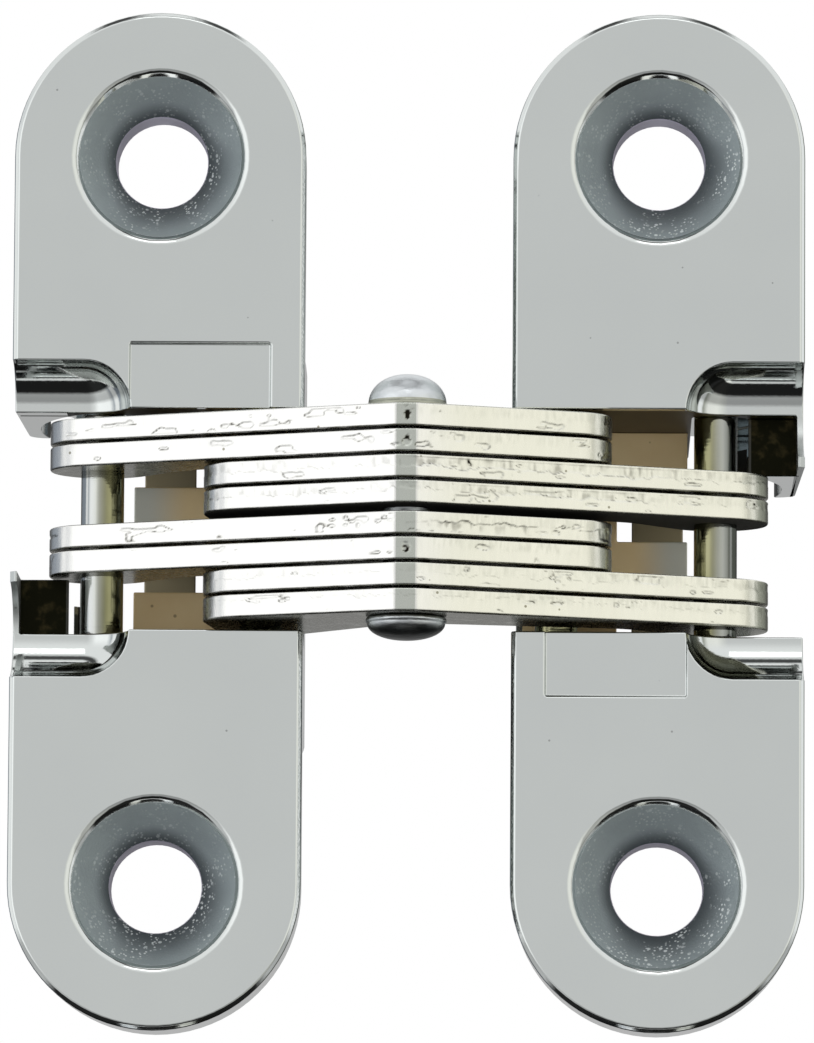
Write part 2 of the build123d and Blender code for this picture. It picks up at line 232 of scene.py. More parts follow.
# %% Floor
FLOOR_LEVEL = -120 * MM
FLOOR_HALF = 3.0
floor_mesh = bpy.data.meshes.new("floor")
corners = [(-1, -1), (1, -1), (1, 1), (-1, 1)]
floor_points = [(x * FLOOR_HALF, y * FLOOR_HALF, FLOOR_LEVEL) for x, y in corners]
floor_mesh.from_pydata(floor_points, [], [(0, 1, 2, 3)])
floor = bpy.data.objects.new("floor", floor_mesh)
bpy.context.scene.collection.objects.link(floor)
floor_paint, tree, output, where = new_material("matt_white_studio_floor")
coat = noise(tree, where, size_mm=40.0)
floor_colour = mixed(tree, coat, linear("F2F2F0"), linear("F6F6F4"))
shader = add(tree, "ShaderNodeBsdfPrincipled", {"Base Color": floor_colour, "Roughness": 0.9})
tree.links.new(shader.outputs[0], output.inputs["Surface"])
floor_mesh.materials.append(floor_paint)
floor.visible_glossy = False
print("floor at", FLOOR_LEVEL / MM, "mm")

# %% [markdown]
# World
#
# The world is white to the camera. Polished metal shows what stands round it, so the world that
# metal sees is a studio tent, drawn as two ramps. The first goes round the hinge: a plain front,
# a bright white panel on the left and a warm one on the right, a narrow strip square to each
# side, and behind them grey with dark gaps. The second goes from underfoot to overhead: dark, a
# bright line, dark again, bright at the height of the hinge, and a dark line below a bright top.
# High up, a plain white ceiling takes the place of the first ramp. Lit cards could make the same
# tent, but a ramp by angle is easier to fit to the bright and dark lines of the photograph. What
# is dull sees a plain pale world, which fills the shadows.

# %% World
ROUND_STOPS = [
    (-180, 0.50, "FFFFFF"), (-168, 0.46, "FFFFFF"), (-160, 0.08, "FFFFFF"), (-146, 0.08, "FFFFFF"),
    (-136, 0.42, "D8E2F0"), (-101, 0.55, "D8E2F0"), (-96, 1.25, "FFFFFF"), (-86, 1.25, "FFFFFF"),
    (-81, 0.72, "E4EAF2"), (-68, 1.42, "FFFFFF"), (-36, 1.48, "FFFFFF"), (-24, 1.05, "FFFFFF"),
    (-14, 0.84, "FFFFFF"), (14, 0.84, "FFFFFF"), (24, 0.98, "FFFFFA"), (40, 1.22, "FFFEF8"),
    (66, 1.16, "FFFEF8"), (80, 0.50, "F4F6E8"), (86, 1.20, "FFFFFF"), (96, 1.20, "FFFFFF"),
    (101, 0.45, "E8EEE4"), (136, 0.30, "E8EEE4"), (146, 0.08, "FFFFFF"), (160, 0.08, "FFFFFF"),
    (168, 0.46, "FFFFFF"), (180, 0.50, "FFFFFF"),
]
HEIGHT_STOPS = [
    (-90, 0.02), (-81, 0.02), (-79, 1.0), (-75, 1.0), (-73, 0.02), (-43, 0.02), (-36, 0.55),
    (-28, 0.5), (-20, 0.5), (-12, 1.0), (60, 1.0), (66, 0.08), (73, 0.08), (78, 1.0), (90, 1.0),
]
BRIGHTEST = 2.0
CEILING = 1.15
CEILING_START, CEILING_FULL = radians(15), radians(40)
PLAIN_LEVEL = 0.7


def ramp_node(tree, place, stops):
    """A colour ramp over places from 0 to 1. A stop is (place, level, colour), and levels are
    kept at a share of BRIGHTEST, because a ramp holds values up to 1."""
    node = add(tree, "ShaderNodeValToRGB", {0: place})
    elements = node.color_ramp.elements
    elements.remove(elements[0])
    for index, (spot, level, colour) in enumerate(stops):
        element = elements[0] if index == 0 else elements.new(spot)
        element.position = spot
        element.color = (*(c * level / BRIGHTEST for c in linear(colour)[:3]), 1.0)
    return node.outputs["Color"]


world = bpy.data.worlds.new("studio")
bpy.context.scene.world = world
world.use_nodes = True
tree = world.node_tree
tree.nodes.clear()
direction = add(tree, "ShaderNodeTexCoord").outputs["Generated"]
split = add(tree, "ShaderNodeSeparateXYZ", {0: direction}).outputs
towards = calc(tree, "MULTIPLY", split["Y"], -1.0)
azimuth = calc(tree, "ARCTAN2", split["X"], towards)
height = calc(tree, "ARCSINE", split["Z"])
round_place = calc(tree, "MULTIPLY_ADD", azimuth, 0.5 / pi, 0.5)
height_place = calc(tree, "MULTIPLY_ADD", height, 1 / pi, 0.5)
round_stops = [((a + 180) / 360, level, colour) for a, level, colour in ROUND_STOPS]
height_stops = [((a + 90) / 180, level * BRIGHTEST, "FFFFFF") for a, level in HEIGHT_STOPS]
ring = ramp_node(tree, round_place, round_stops)
rise = ramp_node(tree, height_place, height_stops)
overhead = step_up(tree, height, CEILING_START, CEILING_FULL)
ring = mixed(tree, overhead, ring, (*[CEILING / BRIGHTEST] * 3, 1.0))
tent_colour = add(tree, "ShaderNodeVectorMath", {0: ring, 1: rise}, operation="MULTIPLY").outputs[0]
tent = add(tree, "ShaderNodeBackground", {"Color": tent_colour, "Strength": BRIGHTEST})
plain = add(tree, "ShaderNodeBackground", {"Color": (1, 1, 1, 1), "Strength": PLAIN_LEVEL})
white = add(tree, "ShaderNodeBackground", {"Color": (1, 1, 1, 1), "Strength": 1.0})
rays = add(tree, "ShaderNodeLightPath").outputs
seen = calc(tree, "MAXIMUM", rays["Is Camera Ray"], rays["Is Transmission Ray"])
layers = {0: rays["Is Glossy Ray"], 1: plain.outputs[0], 2: tent.outputs[0]}
around = add(tree, "ShaderNodeMixShader", layers)
whole = add(tree, "ShaderNodeMixShader", {0: seen, 1: around.outputs[0], 2: white.outputs[0]})
add(tree, "ShaderNodeOutputWorld", {"Surface": whole.outputs[0]})
bpy.context.scene.view_settings.view_transform = "Standard"
print("tent", len(ROUND_STOPS), "stops round and", len(HEIGHT_STOPS), "stops high")

# %% [markdown]
# Soft boxes
#
# The tent gives metal its looks, and lamps light what is dull: the countersinks and the slots.
# A long box stands low in front and shines into the slots, one stands on each side where the
# tent has its panels, and a small one above. Polished metal sees only the last.

# %% Soft boxes
BOX_DISTANCE = 0.9


def soft_box(name, azimuth, height, size, level, colour, seen_by_metal):
    """A rectangular lamp facing the hinge. Azimuth 0 stands at the camera's side, and 90 on the
    right. A lamp of area A shows the brightness level when its power is level x pi x A."""
    lamp = bpy.data.lights.new(name, "AREA")
    lamp.shape = "RECTANGLE"
    lamp.size = size[0]
    lamp.size_y = size[1]
    lamp.color = linear(colour)[:3]
    lamp.energy = level * pi * size[0] * size[1]
    box = bpy.data.objects.new(name, lamp)
    bpy.context.scene.collection.objects.link(box)
    side, up = radians(azimuth), radians(height)
    spot = Vector((sin(side) * cos(up), -cos(side) * cos(up), sin(up))) * BOX_DISTANCE
    box.matrix_world = Matrix.Translation(spot) @ spot.to_track_quat("Z", "Y").to_matrix().to_4x4()
    box.visible_glossy = seen_by_metal
    print(name, "power", round(lamp.energy, 2), "W")


soft_box("front_box", 2, -5, size=(1.2, 0.3), level=4.4, colour="FFFFFF", seen_by_metal=False)
soft_box("left_box", -58, 6, size=(1.05, 0.9), level=1.1, colour="FFFFFF", seen_by_metal=False)
soft_box("right_box", 58, 6, size=(1.05, 0.9), level=0.75, colour="FFF6DC", seen_by_metal=False)
soft_box("top_box", 0, 50, size=(0.3, 0.2), level=1.4, colour="FFFFFF", seen_by_metal=True)

# %% [markdown]
# Countersinks
#
# The plating hardly reaches into the countersinks, which stay dull grey zinc, and polishing grit
# settles in them. Painted shade darkens each towards its bore, and reaches further on the lower
# right side, whose wall faces up. The bore under each is bright again. No painted picture is
# needed, because the distance from the hole's line says where the grit and the painted shade lie.
# The flecks are a little coarser than real grit, so that they show.

# %% Colour of the countersinks
# Radii where the painted shade at the throat ends: on the upper left, and further out on the lower
# right.
THROAT_OTHER_SIDE = 2.7 * MM
THROAT_SHADED_SIDE = 3.5 * MM


def within(tree, value, low, high):
    """1 where a value lies between two numbers, else 0."""
    above = calc(tree, "GREATER_THAN", value, low)
    return calc(tree, "MULTIPLY", above, calc(tree, "LESS_THAN", value, high))


def sink_colour(tree, where, radius, grit_and_shade_side):
    """Dull grey zinc of a countersink, with painted shade towards its throat, and pale in the bore.
    The painted shade reaches further on its lower right side, where grit also lies in pale flecks."""
    stain = noise(tree, where, size_mm=1.6, detail=4.0)
    dull = mixed(tree, stain, linear("8A9497"), linear("A2ACAE"))
    # Painted shade at the throat, reaching further on the lower right side.
    throat_end = blended(tree, grit_and_shade_side, THROAT_OTHER_SIDE, THROAT_SHADED_SIDE)
    throat = calc(tree, "SUBTRACT", 1.0, step_up(tree, radius, HOLE_RADIUS, throat_end))
    dull = mixed(tree, calc(tree, "MULTIPLY", throat, 0.8), dull, linear("30363A"))
    zone = step_up(tree, noise(tree, where, size_mm=1.2, detail=3.0), 0.44, 0.6)
    zone = calc(tree, "MULTIPLY", zone, blended(tree, grit_and_shade_side, 0.3, 1.0))
    small = calc(tree, "MULTIPLY", specks(tree, where, spacing_mm=0.17, radius_mm=0.06), zone)
    large = calc(tree, "MULTIPLY", specks(tree, where, spacing_mm=0.4, radius_mm=0.1), zone)
    flecks = calc(tree, "MAXIMUM", small, large)
    dull = mixed(tree, calc(tree, "MULTIPLY", flecks, 0.85), dull, linear("E6ECEC"))
    in_bore = calc(tree, "LESS_THAN", radius, HOLE_RADIUS + 0.03 * MM)
    return mixed(tree, in_bore, dull, linear("C4C0D0"))


print("bores", 2 * HOLE_RADIUS / MM, "mm wide")

# %% [markdown]
# Slot
#
# The links and the pins work in the slot, so its walls keep a thin film of oil and dirt over bare
# zinc, brown in the light. Painted shade makes it darker on the end walls, nearly black far in and
# black beyond the sliding pin. Between the middle links, beside the sliding pin, the bare zinc
# shows grey-blue.

# %% Colour of the slot
BARE_START = HALF_GAP + 5.2 * MM
BARE_FULL = HALF_GAP + 7.2 * MM
MIDDLE_BANDS = 2.3 * MM


def pocket_colour(tree, where, depth, reach, high):
    """Brown film and painted shade by place: depth from the face, reach from the middle of the hinge
    outwards and height above or below the middle."""
    brown = mixed(tree, noise(tree, where, size_mm=2.2, detail=3.0), linear("C4AA7C"), linear("D6C296"))
    bare = step_up(tree, reach, BARE_START, BARE_FULL)
    bare = calc(tree, "MULTIPLY", bare, calc(tree, "LESS_THAN", high, MIDDLE_BANDS))
    brown = mixed(tree, calc(tree, "MULTIPLY", bare, 0.8), brown, linear("AEB6B4"))
    stains = calc(tree, "MULTIPLY", specks(tree, where, spacing_mm=0.8, radius_mm=0.09), 0.6)
    brown = mixed(tree, stains, brown, linear("4A3C28"))
    # Painted shade: darker on the end walls of the slot.
    painted_shade_end_wall = calc(tree, "GREATER_THAN", high, HALF_SLOT - 0.03 * MM)
    brown = mixed(tree, painted_shade_end_wall, brown, linear("42361F"))
    # Painted shade: nearly black far in.
    painted_shade_far_in = step_up(tree, depth, FLOOR_DEPTH + 0.2 * MM, FLOOR_DEPTH + 1.5 * MM)
    brown = mixed(tree, painted_shade_far_in, brown, linear("2C2A1E"))
    back_wall = calc(tree, "GREATER_THAN", depth, BACK_WALL_DEPTH)
    brown = mixed(tree, back_wall, brown, linear("8E8468"))
    # Painted shadow: black beyond the sliding pin.
    return mixed(tree, calc(tree, "GREATER_THAN", reach, PIN_SIDE), brown, linear("1C1B14"))


print("film in a slot", round(2 * HALF_SLOT / MM, 1), "mm high")

# %% [markdown]
# Plated castings
#
# The leaves are die cast in zinc alloy, ground flat on the face and plated with bright chrome over
# nickel. The face is nearly a mirror, with the faint haze and the dust pits of a plated casting.
# Masks say where the plating ends: in the countersinks, in the slot, and on the ledge beyond the
# sliding pin, which is black with painted shadow. The pits are coarser than real ones, so they show.

# %% Masks of a leaf
FILM_DEPTH = 0.6 * MM
FILM_INNER = HALF_GAP + 0.45 * MM
FILM_OUTER = PIN_SIDE + 0.55 * MM
FILM_BACK = LEAF_HIGH.y - 0.06 * MM
BACK_CORNER_DEPTH = 15.6 * MM
BACK_CORNER_REACH = HALF_GAP + 1.3 * MM
TOUCH = 0.02 * MM


def sink_masks(tree, xyz, reach, high):
    """Distance from the line of the nearest screw hole, 1 in its countersink, and a share that grows
    to the lower right, for both the grit and the painted shade there. Distance is the root of the
    squares."""
    across = calc(tree, "SUBTRACT", reach, HOLE_X)
    along = calc(tree, "SUBTRACT", high, HOLE_Z)
    squares = calc(tree, "ADD", calc(tree, "POWER", across, 2.0), calc(tree, "POWER", along, 2.0))
    radius = calc(tree, "SQRT", squares)
    in_ring = calc(tree, "LESS_THAN", radius, SINK_RADIUS - TOUCH)
    sink = calc(tree, "MULTIPLY", in_ring, calc(tree, "LESS_THAN", xyz["Y"], PLATE_THICK - TOUCH))
    right = calc(tree, "MULTIPLY", across, calc(tree, "SIGN", xyz["X"]))
    down = calc(tree, "MULTIPLY", along, calc(tree, "SIGN", xyz["Z"]))
    # A share that grows to the lower right, for the grit there and for the painted shade.
    grit_and_shade_side = calc(tree, "MULTIPLY_ADD", right, 0.6, calc(tree, "MULTIPLY", down, -1.0))
    return radius, sink, step_up(tree, grit_and_shade_side, -0.4 * MM, 2.4 * MM)


def slot_masks(tree, depth, reach, high):
    """1 on the walls inside the slot, without the rounded back corner of the leaf, 1 on the ledge
    beyond the sliding pin, and 1 on the thin wall beside that ledge."""
    in_slot = calc(tree, "LESS_THAN", high, HALF_SLOT + TOUCH)
    below = calc(tree, "MULTIPLY", in_slot, calc(tree, "GREATER_THAN", depth, FILM_DEPTH))
    inside = within(tree, reach, FILM_INNER, FILM_OUTER)
    inside = calc(tree, "MULTIPLY", inside, calc(tree, "LESS_THAN", depth, FILM_BACK))
    corner = calc(tree, "GREATER_THAN", depth, BACK_CORNER_DEPTH)
    corner = calc(tree, "MULTIPLY", corner, calc(tree, "LESS_THAN", reach, BACK_CORNER_REACH))
    inside = calc(tree, "MULTIPLY", inside, calc(tree, "SUBTRACT", 1.0, corner))
    deep = calc(tree, "MULTIPLY", below, inside)
    ledge = within(tree, depth, LEDGE_DEPTH - 0.3 * MM, LEDGE_DEPTH + 0.03 * MM)
    ledge = calc(tree, "MULTIPLY", ledge, within(tree, reach, PIN_SIDE, OUTER_SIDE))
    ledge = calc(tree, "MULTIPLY", ledge, in_slot)
    thin_wall = calc(tree, "GREATER_THAN", reach, OUTER_SIDE - 0.2 * MM)
    thin_wall = calc(tree, "MULTIPLY", thin_wall, within(tree, high, 0.0, HALF_SLOT))
    thin_wall = calc(tree, "MULTIPLY", thin_wall, calc(tree, "SUBTRACT", 1.0, ledge))
    return deep, ledge, thin_wall


print("film from", FILM_DEPTH / MM, "to", round(FILM_BACK / MM, 2), "mm deep")


# %% Finish of the castings
def casting_material():
    """Bright chrome outside, dull grey in the countersinks, brown deep in the slot, and a black
    painted shadow on the ledge. Both leaves and both their ends are alike, so reach and height have no
    signs."""
    material, tree, output, where = new_material("chrome_plated_zinc_casting")
    xyz = add(tree, "ShaderNodeSeparateXYZ", {0: where}).outputs
    depth = xyz["Y"]
    reach = calc(tree, "ABSOLUTE", xyz["X"])
    high = calc(tree, "ABSOLUTE", xyz["Z"])
    radius, sink, grit_and_shade_side = sink_masks(tree, xyz, reach, high)
    deep, ledge, thin_wall = slot_masks(tree, depth, reach, high)
    haze = noise(tree, where, size_mm=6.0, detail=3.0)
    grit = noise(tree, where, size_mm=0.12, detail=4.0)
    pits = specks(tree, where, spacing_mm=1.7, radius_mm=0.06)
    chrome = mixed(tree, haze, linear("C7CBCA"), linear("CED2D0"))
    chrome = mixed(tree, calc(tree, "MULTIPLY", pits, 0.5), chrome, linear("6A6C6A"))
    # Painted shadow on the ledge beyond the sliding pin, black and mottled.
    ledge_shadow_mottle = step_up(tree, noise(tree, where, size_mm=0.5, detail=5.0), 0.5, 0.75)
    black = mixed(tree, ledge_shadow_mottle, linear("15150D"), linear("312C1C"))
    colour = mixed(tree, sink, chrome, sink_colour(tree, where, radius, grit_and_shade_side))
    colour = mixed(tree, deep, colour, pocket_colour(tree, where, depth, reach, high))
    colour = mixed(tree, ledge, colour, black)
    roughness = blended(tree, sink, blended(tree, haze, 0.04, 0.08), 0.5)
    roughness = blended(tree, calc(tree, "MAXIMUM", deep, ledge), roughness, 0.45)
    roughness = blended(tree, thin_wall, roughness, 0.4)
    metallic = blended(tree, sink, 1.0, 0.7)
    metallic = blended(tree, deep, metallic, 0.15)
    relief = blended(tree, sink, calc(tree, "MULTIPLY", grit, 0.06), grit)
    metal(tree, output, colour, roughness, relief, relief_mm=0.02, metallic=metallic)
    return material


CASTING = casting_material()
print("made", CASTING.name)

# %% [markdown]
# Rounded edges on the castings
#
# A plated edge is never sharp: polishing and plating round it to about a tenth of a millimetre,
# and that round edge draws a thin bright or dark line in the photograph. The measured casting is
# copied, its loose triangles are merged into whole faces, and a bevel rounds its sharp edges. The
# rounds could be cut into the solid instead, but a bevel can be wider on one edge than another.

# %% Castings with rounded edges
EDGE_RADIUS_MM = 0.12
SHARP_DEGREES = 32
FLAT_DEGREES = 0.4
SAME_POINT = 0.0005 * MM
SINK_SHARE, PANEL_SHARE, THIN_SHARE, PLAIN_SHARE = 1.4, 1.0, 0.2, 0.55
NEAR = 0.1 * MM
THIN_WALL = 0.5 * MM


def merged_copy(node_name, piece_name):
    """A copy of a measured piece, its triangles merged and its flat faces made whole. The back
    keeps its triangles, because a single face can't hold the openings inside it."""
    mesh = bpy.data.meshes.new(piece_name)
    shape = bmesh.new()
    shape.from_mesh(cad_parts[node_name].data)
    bmesh.ops.remove_doubles(shape, verts=shape.verts, dist=SAME_POINT)
    back = max(v.co.y for v in shape.verts) - 0.01 * MM
    front = [e for e in shape.edges if min(v.co.y for v in e.verts) < back]
    points = [v for v in shape.verts if v.co.y < back]
    bmesh.ops.dissolve_limit(shape, angle_limit=radians(FLAT_DEGREES), verts=points, edges=front)
    shape.to_mesh(mesh)
    shape.free()
    if "custom_normal" in mesh.attributes:
        mesh.attributes.remove(mesh.attributes["custom_normal"])
    piece = bpy.data.objects.new(piece_name, mesh)
    bpy.context.scene.collection.objects.link(piece)
    return piece


def round_edges(piece):
    """Smooth the curved faces and round every edge that turns by more than SHARP_DEGREES. An edge
    gets the share of the radius that edge_share gives for its middle."""
    mesh = piece.data
    mesh.polygons.foreach_set("use_smooth", [True] * len(mesh.polygons))
    mesh.set_sharp_from_angle(angle=radians(SHARP_DEGREES))
    shape = bmesh.new()
    shape.from_mesh(mesh)
    weights = shape.edges.layers.float.new("bevel_weight_edge")
    for edge in shape.edges:
        if edge.calc_face_angle(0.0) > radians(SHARP_DEGREES):
            edge[weights] = edge_share((edge.verts[0].co + edge.verts[1].co) / 2)
    shape.to_mesh(mesh)
    shape.free()
    bevel = piece.modifiers.new("round_edges", "BEVEL")
    bevel.width = EDGE_RADIUS_MM * MM
    bevel.segments = 3
    bevel.limit_method = "WEIGHT"
    bevel.use_clamp_overlap = False
    bevel.harden_normals = True
    bevel.miter_outer = "MITER_ARC"


def edge_share(place):
    """Share of the full edge radius at a place: the most round the countersinks, all of it on the
    rim of the sunk panel, little on the thin wall beside the ledge and half of it elsewhere."""
    from_hole = hypot(abs(place.x) - HOLE_X, abs(place.z) - HOLE_Z)
    if place.y < NEAR / 2 and from_hole < SINK_RADIUS + SINK_EDGE + NEAR:
        return SINK_SHARE
    across, along = abs(place.x) - HALF_GAP, abs(place.z) - HALF_SLOT
    beside = PANEL_START - NEAR < across < PANEL_END - NEAR
    if beside and NEAR < along < PANEL_HEIGHT + NEAR and place.y < NEAR:
        return PANEL_SHARE
    if along < 0 and across > LEAF_WIDTH - THIN_WALL:
        return THIN_SHARE
    return PLAIN_SHARE


def dressed_leaf(node_name, body):
    """One casting with rounded edges, in its finish, in place of the measured one."""
    piece = merged_copy(node_name, node_name + "_plated")
    piece.data.materials.clear()
    piece.data.materials.append(CASTING)
    round_edges(piece)
    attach(piece, body)
    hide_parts(node_name)
    print(piece.name, len(piece.data.polygons), "faces before rounding")


dressed_leaf("right_leaf", "right")
dressed_leaf("left_leaf", "left")

# %% [markdown]
# Outline of a stamped link
#
# Each link is one stamping with two round eyes and a bend, so its outline is straight runs that
# touch circles, as a belt touches pulleys. Worked out that way, the outline needs only the
# circles, and the eyes stay true to the pins, whose places come from the measured pieces.

# %% Outline of a link
SLIDE_EYE, PIVOT_EYE = 2.3, 1.9
RIDGE_HALF, RIDGE_CENTRE, RIDGE_ROUND = 0.42, -4.2, 0.3
INNER_BEND = (7.923, 5.044, -3.0)
BACK_BEND = (0.514, 2.135, -1.6)
SHOULDER = (-6.65, 0.372, 2.2)
POINT_SPACING = 0.07
ARC_POINTS = 60


def pin_place(name):
    """Where a round piece's centre line stands, from its measured box."""
    low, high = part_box(name)
    return (low.x + high.x) / 2 / MM, (low.y + high.y) / 2 / MM


def belt(rounds, spacing):
    """Closed outline round circles, as a belt round pulleys, at evenly spaced points, and how far
    along the belt each point lies.

    A straight run touches one circle and the next, so its direction is the direction from centre
    to centre, turned by the arc sine of (first radius - second radius) / distance. On a circle the
    belt turns from one run's direction to the next. A negative radius is a hollow bend."""
    after = rounds[1:] + rounds[:1]
    headings = [
        atan2(y2 - y1, x2 - x1) + asin((r1 - r2) / hypot(x2 - x1, y2 - y1))
        for (x1, y1, r1), (x2, y2, r2) in zip(rounds, after)
    ]
    arcs = []
    for index, (x, y, radius) in enumerate(rounds):
        bend = (headings[index] - headings[index - 1]) % (2 * pi)
        bend = bend if radius > 0 else bend - 2 * pi
        angles = headings[index - 1] - pi / 2 + np.linspace(0, bend, ARC_POINTS)
        arcs.append(np.stack([x + radius * np.cos(angles), y + radius * np.sin(angles)], axis=1))
    line = np.concatenate(arcs + [arcs[0][:1]])
    along = np.concatenate([[0], np.cumsum(np.hypot(*np.diff(line, axis=0).T))])
    places = np.linspace(0, along[-1], int(along[-1] / spacing), endpoint=False)
    return np.stack([np.interp(places, along, line[:, k]) for k in (0, 1)], axis=1), places


SLIDE_PLACE = pin_place("right_slide_pin")
PIVOT_PLACE = pin_place("left_pivot_pin")
RIVET_PLACE = pin_place("centre_rivet")
LINK_ROUNDS = [
    (-RIDGE_HALF, RIDGE_CENTRE, RIDGE_ROUND),
    (RIDGE_HALF, RIDGE_CENTRE, RIDGE_ROUND),
    (*SLIDE_PLACE, SLIDE_EYE),
    INNER_BEND,
    BACK_BEND,
    (*PIVOT_PLACE, PIVOT_EYE),
    SHOULDER,
]
LINK_OUTLINE, LINK_ALONG = belt(LINK_ROUNDS, POINT_SPACING)
print("outline", len(LINK_OUTLINE), "points,", round(float(LINK_ALONG[-1]), 1), "mm round")

# %% [markdown]
# Cut edge of a stamped link
#
# A punch first rounds the sheet, then shears it smooth, and at last tears it. So a stamped edge
# has a small round at the punch side, a bright smooth band, and a band of torn steel with a
# sharper rim. The links are plated afterwards, and the tears still show as dark marks. The edge
# is a surface of two parameters, the way round the outline and the way through the sheet. Noise
# on that grid pushes the tears into it as real shape, where a bump would leave the rims straight.

# %% Tears in a cut edge
TEAR_DEPTH = 0.035
NICK_HALF = (0.17, 0.24)
NICK_SHARE = 0.52


def lattice_noise(draw, along, across, cell_long, cell_high):
    """Smooth noise from 0 to 1 on the grid of along by across. Random heights stand on a lattice
    with cells of cell_long by cell_high, and a smooth step of the place in a cell joins them."""
    columns = max(3, int(along[-1] / cell_long))
    rows = int(across[-1] / cell_high) + 3
    heights = draw.random((columns, rows))
    u = along / along[-1] * (columns - 1e-6)
    v = across / cell_high
    i, j = np.floor(u).astype(int), np.floor(v).astype(int)
    a, b = (u - i)[:, None], (v - j)[None, :]
    a, b = a * a * (3 - 2 * a), b * b * (3 - 2 * b)
    i, j, k = i[:, None], j[None, :], (i[:, None] + 1) % columns
    near = heights[i % columns, j] * (1 - b) + heights[i % columns, j + 1] * b
    far = heights[k, j] * (1 - b) + heights[k, j + 1] * b
    return near * (1 - a) + far * a


def ramp(values, low, high):
    """0 below low, 1 above high and a smooth step between."""
    share = np.clip((values - low) / (high - low), 0, 1)
    return share * share * (3 - 2 * share)


def tears(draw, along, across, band, nick):
    """Depth of the tears in mm over the edge, and how dark their rims are, from 0 to 1.

    Long flat pits lie in the smooth band, where a coarse noise plus a fine one passes a level.
    The torn band runs from band[0] to band[1] of the thickness, with wavy rims and short strokes
    across the sheet, and is as strong as band[2] says along the way. A nick is a pit of its own
    at a place along the outline, where the bent ridge cracked."""
    coarse = lattice_noise(draw, along, across, 1.5, 0.34)
    fine = lattice_noise(draw, along, across, 0.3, 0.14)
    pits = ramp(0.72 * coarse + 0.28 * fine, 0.73, 0.78)
    beside, below = along[:, None] - nick, across[None, :] - NICK_SHARE
    away = np.hypot(beside / NICK_HALF[0], below / NICK_HALF[1])
    crack = 1 - ramp(away + 0.9 * (fine - 0.5), 0.75, 1.05)
    pits = np.maximum(pits, crack)
    strokes = 0.6 * lattice_noise(draw, along, across, 0.14, 0.3)
    strokes = strokes + 0.4 * lattice_noise(draw, along, across, 0.4, 0.4)
    patches = lattice_noise(draw, along, across, 2.2, 1.5)
    wave = 0.24 * (lattice_noise(draw, along, across, 0.5, 1.5) - 0.5)
    wave = wave + 0.16 * (lattice_noise(draw, along, across, 0.15, 1.5) - 0.5)
    low, high, strength = band
    inside = ramp(across[None, :], low + wave - 0.03, low + wave + 0.03)
    inside = inside * (1 - ramp(across[None, :], high + wave - 0.03, high + wave + 0.03))
    torn = inside * (0.25 + 0.75 * ramp(patches, 0.3, 0.6)) * (0.45 + 0.9 * strokes)
    torn = torn * strength[:, None]
    middle = (ramp(across, 0.06, 0.16) * (1 - ramp(across, 0.82, 0.92)))[None, :]
    breaks = lattice_noise(draw, along, across, 0.4, 0.3)
    rims = 4 * pits * (1 - pits) * ramp(breaks, 0.2, 0.6) + 2 * crack * ramp(fine, 0.3, 0.6)
    rims = rims + 3 * inside * (1 - inside) * strength[:, None] * ramp(breaks, 0.3, 0.6)
    marks = rims + 0.5 * torn * ramp(strokes, 0.5, 0.8)
    return TEAR_DEPTH * np.maximum(pits, torn) * middle, np.clip(marks, 0, 1) * middle


print("tears up to", TEAR_DEPTH, "mm deep")

# %% [markdown]
# Section and faces of a link
#
# Down the cut edge the section is a small quarter circle, a straight cut and a larger quarter
# circle. The edge is a grid of such sections, with four-cornered faces between neighbours, and
# each bore is a grid of two rings. The flats are filled between the rims, so they stay flat
# whatever the tears do.

# %% Section and faces
TOP_ROUND, LOW_ROUND = 0.07, 0.10
TOP_STEPS, CUT_STEPS, LOW_STEPS = 5, 16, 6
SAME_LEVEL = 1e-7


def grid_faces(rings, points):
    """Four-cornered faces between neighbouring closed rings of equally many points."""
    ring, point = np.meshgrid(np.arange(rings - 1), np.arange(points), indexing="ij")
    first = ring * points + point
    second = ring * points + (point + 1) % points
    return np.stack([first, first + points, second + points, second], axis=-1).reshape(-1, 4)


def edge_section(thickness):
    """Places down the cut edge: how far out, how high and the share of the thickness. Each rim
    is a quarter circle, out by radius x (cosine - 1), and the cut between is straight."""
    top = np.linspace(pi / 2, 0, TOP_STEPS)
    low = np.linspace(0, -pi / 2, LOW_STEPS)
    cut = np.linspace(thickness / 2 - TOP_ROUND, LOW_ROUND - thickness / 2, CUT_STEPS)[1:-1]
    out = np.concatenate([TOP_ROUND * (np.cos(top) - 1), 0 * cut, LOW_ROUND * (np.cos(low) - 1)])
    high = np.concatenate([
        thickness / 2 - TOP_ROUND * (1 - np.sin(top)),
        cut,
        LOW_ROUND * (1 + np.sin(low)) - thickness / 2,
    ])
    return out, high, 0.5 - high / thickness


def close_flats(mesh, level):
    """Fill the flat face at a level between the outer rim and the rims of the holes."""
    shape = bmesh.new()
    shape.from_mesh(mesh)
    open_edges = [e for e in shape.edges if e.is_boundary]
    rims = [e for e in open_edges if abs(e.verts[0].co.z - level) < SAME_LEVEL]
    filled = bmesh.ops.triangle_fill(shape, edges=rims, use_beauty=True)
    for face in filled["geom"]:
        if isinstance(face, bmesh.types.BMFace):
            face.smooth = False
    bmesh.ops.recalc_face_normals(shape, faces=shape.faces)
    shape.to_mesh(mesh)
    shape.free()


print("section of", TOP_STEPS + CUT_STEPS - 2 + LOW_STEPS, "rings")

# %% [markdown]
# Eight stamped links
#
# All eight are the same stamping, and half of them are turned over. No two real ones tear alike,
# so each draws noise from its own seed, and a small table says where through the sheet and how
# strongly it is torn. The bent ridge of three links has cracked in one spot.

